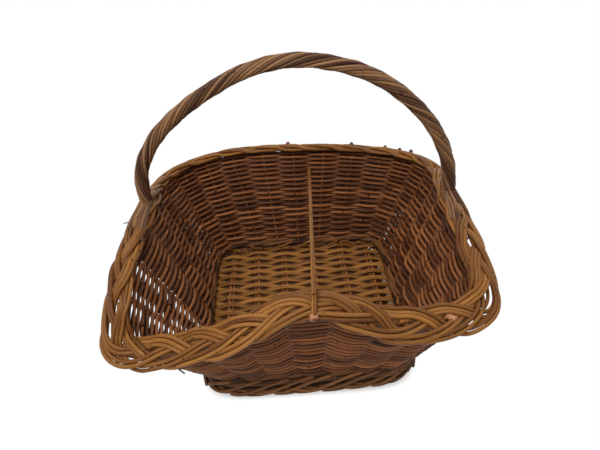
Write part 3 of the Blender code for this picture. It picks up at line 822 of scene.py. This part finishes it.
class BASKET_OT_floor(bpy.types.Operator):
    """Weave the floor: rows of two rods over and under the pairs of sticks"""
    bl_idname = "basket.floor"
    bl_label = "Floor weave"

    def execute(self, context):
        sizes, colours = choices(context)
        radius = sizes.floor_rod / 2
        pitch = 2 * FLOOR_HALF_WIDTH / sizes.floor_rows
        swing = sizes.stick_rod / 2 + radius * FLOOR_LIFT_SHARE
        sticks = np.array(STICK_PLACES)
        bands = sheaves("floor_rods_{:02d}", "floor", FLOOR_BANDS)
        for row in range(sizes.floor_rows):
            sheaf = bands[row * FLOOR_BANDS // sizes.floor_rows]
            chance = sheaf.chance
            middle = -FLOOR_HALF_WIDTH + (row + 0.5) * pitch
            corner = (1 - (abs(middle) / FLOOR_HALF_WIDTH) ** BASE_CORNER_POWER) ** (1 / BASE_CORNER_POWER)
            x = np.linspace(-1, 1, FLOOR_SAMPLES) * FLOOR_HALF_LENGTH * corner
            last = len(sticks) - 1
            turn = np.interp(x, sticks, np.arange(len(sticks)))
            turn = np.where(x < sticks[0], (x - sticks[0]) / (sticks[1] - sticks[0]), turn)
            turn = np.where(x > sticks[-1], last + (x - sticks[-1]) / (sticks[-1] - sticks[-2]), turn)
            lift = swing * np.cos(math.pi * (turn + row))
            for side in (-1, 1):
                y = middle + side * radius * FLOOR_SPACING_SHARE + wander(chance, x, *FLOOR_SIDE_WANDER)
                path = np.stack((x, y, FLOOR_LEVEL + lift), axis=-1) + MIDDLE
                path[:, 2] += wander(chance, x, *FLOOR_LIFT_WANDER)
                sheaf.lay_uneven(path, radius, FLOOR_THICKNESSES, FLOOR_SHADES)
            # Three thin rods under each row, coloured darkest: painted shade in the gaps between rows
            for side in (-1, 0, 1):
                y = np.full_like(x, middle + side * pitch / 3)
                level = np.full_like(x, FLOOR_LEVEL - FLOOR_PACKING_DROP)
                path = np.stack((x, y, level), axis=-1)[::FLOOR_PACKING_STEP] + MIDDLE
                sheaf.lay(path, radius * FLOOR_PACKING_SHARE, UP, PAINTED_SHADE_AND_STUB_SHADES[0], PACKING_SIDES)
        self.loose_ends(bands[-1], radius)
        for band, sheaf in enumerate(bands, 1):
            sheaf.piece(colours, "floor", f"floor_weave_{band:02d}")
        return {"FINISHED"}

    def loose_ends(self, sheaf, radius):
        """Ends of weavers that lie loose on the floor along the back wall."""
        chance = sheaf.chance
        for end in range(LOOSE_ENDS):
            share = 2 * (end + chance.uniform(0, 1)) / LOOSE_ENDS - 1
            x = FLOOR_HALF_LENGTH * share * LOOSE_SPREAD_SHARE
            start = np.array((x, FLOOR_HALF_WIDTH - radius * 2, FLOOR_LEVEL + radius * 2))
            turn = chance.uniform(*LOOSE_TURNS)
            forward = -math.sin(turn) * LOOSE_FORWARD_SHARE
            aim = np.array((math.cos(turn), forward, chance.uniform(*LOOSE_RISES)))
            path = short_end(start + MIDDLE, aim, LOOSE_ROOT, LOOSE_LENGTH * chance.uniform(*LOOSE_LENGTHS))
            sheaf.lay_uneven(path, radius, LOOSE_THICKNESSES, FLOOR_SHADES)


class BASKET_OT_stakes(bpy.types.Operator):
    """Set the side stakes that rise from the upsett to the border"""
    bl_idname = "basket.stakes"
    bl_label = "Side stakes"

    def execute(self, context):
        sizes, colours = choices(context)
        sheaf = Sheaf("side_stakes", SEEDS["stakes"])
        for number in range(STAKES):
            place = number * STAKE_STEP
            if place in (RIGHT, LEFT):
                continue
            rise = np.linspace(-STAKE_SINK_SHARE, 1, STAKE_SAMPLES)
            path = wall(np.full_like(rise, place), rise)
            out = outline_frame(np.array([place]))[1][0]
            sheaf.lay_uneven(path, sizes.stake_rod / 2, STAKE_THICKNESSES, STAKE_SHADES, out)
        nodes = sorted(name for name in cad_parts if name.startswith("side_stake_"))
        sheaf.piece(colours, "wall", *nodes)
        return {"FINISHED"}


class BASKET_OT_walls(bpy.types.Operator):
    """Weave the walls: each row passes in front of one stake and behind the next"""
    bl_idname = "basket.walls"
    bl_label = "Wall weave"

    def execute(self, context):
        sizes, colours = choices(context)
        bands = sheaves("wall_rods_{}", "walls", WALL_BANDS)
        self.pack(bands[0], sizes, 0, 0, RIM_POINTS)
        for row in range(sizes.wall_rows):
            share = (row + 0.5) / sizes.wall_rows
            level = row_level(share)
            crowd = 1 + ROW_CROWDING * (1 - 2 * share)
            sheaf = bands[min(int(level * WALL_BANDS), WALL_BANDS - 1)]
            chance = sheaf.chance
            start = 2 * chance.integers(0, STAKES // 2) + 1 - row % 2
            for span in ROW_SPANS:
                stake = start + np.linspace(ROW_GAP, span - ROW_GAP, span * SAMPLES_PER_STAKE)
                place = stake * STAKE_STEP
                start += span
                low, high, length = wall_reach(place)
                pitch = (high - low) * length * crowd / sizes.wall_rows
                radius = np.minimum(sizes.wall_rod / 2, pitch * ROW_FILL_SHARE / 2)
                radius = radius * chance.uniform(*WALL_THICKNESSES)
                from_bow = np.abs((place + SIDE_POINTS) % (RIM_POINTS / 2) - SIDE_POINTS)
                swell = BOW_SWELL * np.clip(1 - from_bow / BOW_SWELL_REACH, 0, 1)
                swing = (sizes.stake_rod / 2 + radius + swell) * np.cos(math.tau * place + math.pi * row)
                swing += wander(chance, place, *SWING_WANDER)
                rise = low + (high - low) * level + wander(chance, place, *SLIDE_WANDER) / length
                path = wall(place, rise) + wall_normal(place, rise) * swing[:, None]
                sheaf.lay(path, radius, UP, chance.uniform(*WALL_SHADES))
            last = PACKED_TO + PACKED_EXTRAS[row % len(PACKED_EXTRAS)]
            self.pack(sheaf, sizes, row + 1, PACKED_FROM, last)
        for band, sheaf in enumerate(bands, 1):
            sheaf.piece(colours, "wall", f"wall_weave_{band}")
        return {"FINISHED"}

    def pack(self, sheaf, sizes, row, first, last):
        """Thin filler rod between two rows, coloured darkest as painted shade in the gap, in the walls that
        are too tight to see through.
        """
        stakes = int((last - first) / STAKE_STEP)
        place = np.linspace(first, last, stakes * PACKING_SAMPLES)
        low, high, length = wall_reach(place)
        radius = (high - low) * length / sizes.wall_rows * PACKING_SHARE
        rise = low + (high - low) * row_level(row / sizes.wall_rows)
        sway = wander(sheaf.chance, place, *PACKING_WANDER)
        path = wall(place, rise) + wall_normal(place, rise) * sway[:, None]
        sheaf.lay(path, radius, UP, sheaf.chance.uniform(*PAINTED_SHADE_AND_STUB_SHADES), PACKING_SIDES)


def plait_path(stroke, share, offset, chance, places, distances):
    """Path of one rod of the border plait, over shares of its stroke's period."""
    total = distances[-1]
    period = total * STROKE_STAKES / STAKES
    lap = share % 1
    outward = math.pi * lap / OUTWARD_SHARE
    inward = math.pi * (1 + (lap - OUTWARD_SHARE) / (1 - OUTWARD_SHARE))
    turn = np.where(lap < OUTWARD_SHARE, outward, inward)
    sweep = -(np.cos(turn) + PLAIT_CORNERING * np.cos(3 * turn)) / (1 + PLAIT_CORNERING)
    run = total * stroke / STAKES + period * share
    place = np.interp(run % total, distances, places)
    breadth = rim_row(place)[:, 3]
    across = sweep * (breadth - np.where(sweep > 0, PLAIT_OUTER_INSET, PLAIT_INNER_INSET))
    slope = np.gradient(across, run)
    offset = offset + wander(chance, share, *PLAIT_SIDE_WANDER)
    lean = np.arctan(slope)
    place = np.interp((run - offset * np.sin(lean)) % total, distances, places)
    across = across + offset * np.cos(lean)
    over = np.tanh(PLAIT_SQUARENESS * np.sin(2 * turn)) / math.tanh(PLAIT_SQUARENESS)
    lift = PLAIT_LAYER * over - PLAIT_CROWN * ((across / breadth) ** 2 - PLAIT_CROWN_BASE)
    lift = lift + wander(chance, share, *PLAIT_LIFT_WANDER)
    out, up = border_frame(place)
    return rim(place) + out * across[:, None] + up * lift[:, None]


class BASKET_OT_border(bpy.types.Operator):
    """Plait the border: the rods of each stake cross over and under those of the next ones"""
    bl_idname = "basket.border"
    bl_label = "Border plait"

    def execute(self, context):
        sizes, colours = choices(context)
        places, distances = rim_distances()
        radius = sizes.border_rod / 2
        step = sizes.border_rod * ROD_SPACING_SHARE
        bundles = sheaves("border_bundle_{}", "border", BUNDLES)
        whole = np.linspace(PLAIT_START_SHARE, 1 + PLAIT_START_SHARE + PLAIT_OVERLAP_SHARE, PLAIT_SAMPLES)
        short = whole[whole < EXTRA_END_SHARE]
        for stroke in range(STAKES):
            sheaf = bundles[stroke % BUNDLES]
            chance = sheaf.chance
            jog = chance.uniform(-STROKE_JOG, STROKE_JOG)
            for rod in range(sizes.border_rods + EXTRA_RODS):
                extra = rod >= sizes.border_rods
                offset = (rod - (sizes.border_rods - 1) / 2) * step
                share = short if extra else whole
                path = plait_path(stroke + jog, share, offset, chance, places, distances)
                sheaf.lay_uneven(path, radius, BORDER_THICKNESSES, BORDER_SHADES)
        place = np.linspace(0, RIM_POINTS, CORE_SAMPLES)
        out, up = border_frame(place)
        for share in CORE_SHARES:
            middle = rim(place) + out * (rim_row(place)[:, 3] * share)[:, None] - up * CORE_DROP
            bundles[1].lay(middle, radius * CORE_THICKNESS_SHARE, UP, BORDER_SHADES[0])
        ends = Sheaf("cut_ends", SEEDS["cut ends"])
        for place, share, lean, rise, length, thickness, shade in CUT_ENDS:
            point, breadth, out, up = border_spot(place)
            aim = unit(out * lean + up * rise + np.cross(up, out) * CUT_END_SWAY)
            path = short_end(point + out * breadth * share, aim, CUT_END_ROOT, length)
            ends.lay(path, thickness / 2, RIGHTWARD, shade)
        ends.piece(colours, "cut", "border_strand_1")
        for bundle, sheaf in enumerate(bundles, 1):
            sheaf.piece(colours, "border", f"border_strand_{bundle}")
        return {"FINISHED"}


def arch(share):
    """Points of the handle's centre line, which runs from the right rim to the left."""
    right, left = RIM[RIGHT, :3], RIM[LEFT, :3]
    spot = smooth_row(HANDLE_SHARES, 1 + HANDLE_SPANS * np.asarray(share))
    middle = (right + left) / 2
    spring = middle + (right - middle) * spot[..., :1]
    return spring + UP * (HANDLE_APEX - spring[..., 2:]) * spot[..., 1:]


def arch_frame(share):
    """Directions from the arch to its inner side."""
    along = unit(arch(share + ARCH_PROBE) - arch(share - ARCH_PROBE))
    return np.cross(along, BACKWARD)


def arch_start():
    """Share of the arch at which its rods come out of the border."""
    shares = np.linspace(0, HANDLE_SEARCH_SHARE, RIM_GRID)
    rises = np.minimum(arch(shares)[:, 2] - RIM[RIGHT, 2], arch(1 - shares)[:, 2] - RIM[LEFT, 2])
    return float(np.interp(HANDLE_EMERGENCE, rises, shares))


class BASKET_OT_bow(bpy.types.Operator):
    """Bend the bow: a thick rod inside the handle, whose legs go down in the side walls"""
    bl_idname = "basket.bow"
    bl_label = "Handle bow"

    def execute(self, context):
        colours = context.scene.basket_colours
        sheaf = Sheaf("bow_rod", SEEDS["bow"])
        rise = np.linspace(BOW_LEG_LOW, BOW_LEG_HIGH, BOW_LEG_SAMPLES)
        first = arch_start() / 2
        right = wall(np.full_like(rise, RIGHT), rise)
        left = wall(np.full_like(rise, LEFT), rise)[::-1]
        top = arch(np.linspace(first, 1 - first, BOW_ARCH_SAMPLES))
        radius = np.full(BOW_ARCH_SAMPLES + 2 * BOW_LEG_SAMPLES, BOW_LEG_RADIUS)
        radius[BOW_LEG_SAMPLES:-BOW_LEG_SAMPLES] = HANDLE_CORE
        sheaf.lay(np.concatenate((right, top, left)), radius, BACKWARD, BOW_SHADE)
        sheaf.piece(colours, "wall", "handle_bow")
        return {"FINISHED"}


class BASKET_OT_handle(bpy.types.Operator):
    """Wind the rods round the bow, and tuck their ends over and under the border"""
    bl_idname = "basket.handle"
    bl_label = "Handle strands"

    def execute(self, context):
        sizes, colours = choices(context)
        radius = sizes.handle_rod / 2
        first = arch_start()
        count = np.linspace(0, 1, HANDLE_SAMPLES)
        share = first + (1 - 2 * first) * count
        inward = arch_frame(share)
        for strand, sheaf in enumerate(sheaves("handle_rods_{}", "handle", HANDLE_STRANDS)):
            chance = sheaf.chance
            for rod in (-1, 0, 1):
                turn = math.tau * (sizes.handle_turns * count + strand / HANDLE_STRANDS)
                turn += rod * HANDLE_ROD_ANGLE + wander(chance, count, *HANDLE_TURN_WANDER)
                away = HANDLE_CORE + radius * HANDLE_LIFT_SHARE + (HANDLE_CROWN if rod == 0 else 0)
                away = away + wander(chance, count, *HANDLE_LIFT_WANDER)
                spoke = inward * np.cos(turn)[:, None] + BACKWARD * np.sin(turn)[:, None]
                path = arch(share) + spoke * away[:, None]
                start = self.tuck(path[0], RIGHT, spoke[0], chance)[::-1]
                end = self.tuck(path[-1], LEFT, spoke[-1], chance)
                path = np.concatenate((start[:-1], path, end[1:]))
                sheaf.lay_uneven(path, radius, HANDLE_THICKNESSES, HANDLE_SHADES, BACKWARD)
            sheaf.piece(colours, "handle", f"handle_strand_{strand + 1}")
        return {"FINISHED"}

    def tuck(self, top, place, spoke, chance):
        """Path of a rod's end from the handle, fanned out over the border and down into it."""
        to_front = 1 if place == LEFT else -1
        reach = to_front * TUCK_REACH * chance.uniform(*TUCK_REACHES)
        point, breadth, out, up = border_spot(place)
        away = top - point
        across, lift = away @ out, away @ up
        aim = np.clip(spoke @ out * TUCK_SPREAD, -1, 1) * breadth
        points = [top]
        for share, sink in TUCK_SHARES:
            slide = away @ np.cross(up, out) / PLACE_LENGTH * (1 - share)
            point, _, out, up = border_spot(place + slide + reach * share)
            points.append(point + out * (across + (aim - across) * share) + up * lift * sink)
        return smooth_path(points, HANDLE_END_SAMPLES)


class BASKET_OT_tie(bpy.types.Operator):
    """Lay the cross tie from the front border to the back wall, and its wrap"""
    bl_idname = "basket.tie"
    bl_label = "Cross tie"

    def execute(self, context):
        sizes, colours = choices(context)
        radius = sizes.tie_rod / 2
        low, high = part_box("cross_tie")
        point, breadth, out, up = border_spot(FRONT + TIE_FRONT_X / RIM_HALF_LENGTH * 2)
        reach = breadth + radius / 2

        def wrapped(degrees):
            """Points round the border at angles over it from its outer edge."""
            turn = np.radians(degrees)[..., None]
            return point + out * reach * np.cos(turn) + up * TIE_LIFT * np.sin(turn)

        back = np.array((TIE_BACK_X + MIDDLE[0], high.y, low.z + radius))
        start = wrapped(TIE_TAKE_OFF)
        lead = start + (wrapped(TIE_TAKE_OFF + 1) - start) * TIE_LEAD
        line = [lead + (back - lead) * share for share in TIE_SHARES]
        path = smooth_path([wrapped(TIE_WRAP_START), start, *line], TIE_SAMPLES)
        loop = wrapped(np.linspace(TIE_WRAP_START, TIE_WRAP_END, TIE_SAMPLES))
        taper = np.linspace(1, TIE_TIP_SHARE, TIE_SAMPLES)
        tie = Sheaf("tie_rods", SEEDS["tie"])
        wrap = Sheaf("tie_wrap", SEEDS["wrap"])
        for side, shade in TIE_STRANDS:
            beside = RIGHTWARD * side * radius / 2
            tie.lay(path + beside * taper[:, None], radius * TIE_STRAND_SHARE * taper, UP, shade)
            wrap.lay(loop + beside, radius * TIE_STRAND_SHARE, RIGHTWARD, shade)
        tie.piece(colours, "border", "cross_tie")
        wrap.piece(colours, "border", "tie_lashing")

        turn = np.linspace(0, math.tau * KNOT_TURNS, TIE_SAMPLES)
        path = wrapped(KNOT_ANGLE) + RIGHTWARD * (KNOT_RADIUS * np.cos(turn))[:, None]
        path = path + up * (KNOT_RADIUS * np.sin(turn))[:, None] + out * (radius * turn / math.tau)[:, None]
        knot = Sheaf("tie_knot", SEEDS["knot"])
        knot.lay(path, radius * KNOT_THICKNESS_SHARE, out, KNOT_SHADE)
        knot.piece(colours, "cut", "tie_lashing")
        return {"FINISHED"}


class BASKET_OT_stage(bpy.types.Operator):
    """Set up the studio: pale floor, soft lamps and the camera"""
    bl_idname = "basket.stage"
    bl_label = "Studio"

    def execute(self, context):
        scene = context.scene
        scene.view_settings.view_transform = "Standard"
        self.floor(scene)
        self.light(scene)
        self.camera(scene)
        return {"FINISHED"}

    def floor(self, scene):
        mesh = bpy.data.meshes.new("studio_floor")
        half = PAPER_HALF_SIZE
        corners = [(-half, -half, 0), (half, -half, 0), (half, half, 0), (-half, half, 0)]
        mesh.from_pydata(corners, [], [(0, 1, 2, 3)])
        material = bpy.data.materials.new("matt_white_paper")
        tree = clear_tree(material)
        paper = add_node(tree, "ShaderNodeBsdfPrincipled", {
            "Base Color": (*scene.basket_colours.backdrop, 1), "Roughness": PAPER_ROUGHNESS})
        glow = add_node(tree, "ShaderNodeEmission", {"Color": WHITE, "Strength": 1})
        spot = add_node(tree, "ShaderNodeNewGeometry", {}).outputs["Position"]
        away = add_node(tree, "ShaderNodeVectorMath", {0: spot, 1: MIDDLE}, operation="SUBTRACT").outputs[0]
        sides = add_node(tree, "ShaderNodeVectorMath", {0: away}, operation="ABSOLUTE").outputs[0]
        side = add_node(tree, "ShaderNodeSeparateXYZ", {0: sides})
        powers = [add_node(tree, "ShaderNodeMath", {0: side.outputs[axis], 1: FOOT_CORNER_POWER},
                           operation="POWER").outputs[0] for axis in ("X", "Y")]
        reach = add_node(tree, "ShaderNodeMath", {0: powers[0], 1: powers[1]}, operation="ADD").outputs[0]
        clear = add_node(tree, "ShaderNodeMapRange", {
            "Value": reach, "From Min": SHADOW_START ** FOOT_CORNER_POWER,
            "From Max": SHADOW_END ** FOOT_CORNER_POWER, "To Min": 0, "To Max": PAPER_GLOW}).outputs[0]
        share = add_node(tree, "ShaderNodeMath", {0: seen_directly(tree), 1: clear}, operation="MULTIPLY")
        mix = add_node(tree, "ShaderNodeMixShader", {
            0: share.outputs[0], 1: paper.outputs[0], 2: glow.outputs[0]})
        add_node(tree, "ShaderNodeOutputMaterial", {"Surface": mix.outputs[0]})
        mesh.materials.append(material)
        floor = add_object("studio_floor", mesh)

    def light(self, scene):
        scene.world = bpy.data.worlds.new("studio")
        tree = clear_tree(scene.world)
        dim = add_node(tree, "ShaderNodeBackground", {"Color": WHITE, "Strength": AMBIENT})
        white = add_node(tree, "ShaderNodeBackground", {"Color": WHITE, "Strength": 1})
        seen = seen_directly(tree)
        mix = add_node(tree, "ShaderNodeMixShader", {0: seen, 1: dim.outputs[0], 2: white.outputs[0]})
        add_node(tree, "ShaderNodeOutputWorld", {"Surface": mix.outputs[0]})
        for name, place, power, size in LAMPS:
            lamp = bpy.data.lights.new(name, "AREA")
            lamp.energy = power
            lamp.size = size
            holder = add_object(name, lamp)
            holder.location = place
            aim = LAMP_AIM - holder.location
            holder.rotation_euler = aim.to_track_quat("-Z", "Y").to_euler()

    def camera(self, scene):
        lens = bpy.data.cameras.new("photo_view")
        lens.sensor_width = SENSOR_WIDTH
        lens.lens = FOCAL_LENGTH
        turn = Matrix((CAMERA_RIGHT, CAMERA_UP, CAMERA_BACK)).transposed()
        scene.camera = add_object("photo_view", lens)
        scene.camera.matrix_world = Matrix.Translation(CAMERA_PLACE + Vector(MIDDLE)) @ turn.to_4x4()


class BASKET_PT_panel(bpy.types.Panel):
    """Sizes, colours and steps of the basket"""
    bl_label = "Willow basket"
    bl_idname = "BASKET_PT_panel"
    bl_space_type = "VIEW_3D"
    bl_region_type = "UI"
    bl_category = "Basket"

    def draw(self, context):
        for group in choices(context):
            for name in group.__annotations__:
                self.layout.prop(group, name)
        for step in STEPS:
            self.layout.operator(step.bl_idname)


STEPS = (
    BASKET_OT_foot,
    BASKET_OT_upsett,
    BASKET_OT_floor_sticks,
    BASKET_OT_floor,
    BASKET_OT_stakes,
    BASKET_OT_walls,
    BASKET_OT_border,
    BASKET_OT_bow,
    BASKET_OT_handle,
    BASKET_OT_tie,
    BASKET_OT_stage,
)
CLASSES = (BasketSizes, BasketColours, *STEPS, BASKET_PT_panel)


def register():
    for kind in CLASSES:
        bpy.utils.register_class(kind)
    bpy.types.Scene.basket_sizes = bpy.props.PointerProperty(type=BasketSizes)
    bpy.types.Scene.basket_colours = bpy.props.PointerProperty(type=BasketColours)


def unregister():
    del bpy.types.Scene.basket_colours
    del bpy.types.Scene.basket_sizes
    for kind in reversed(CLASSES):
        bpy.utils.unregister_class(kind)


def main():
    register()
    for step in STEPS:
        group, name = step.bl_idname.split(".")
        getattr(getattr(bpy.ops, group), name)()


if __name__ == "__main__":
    main()
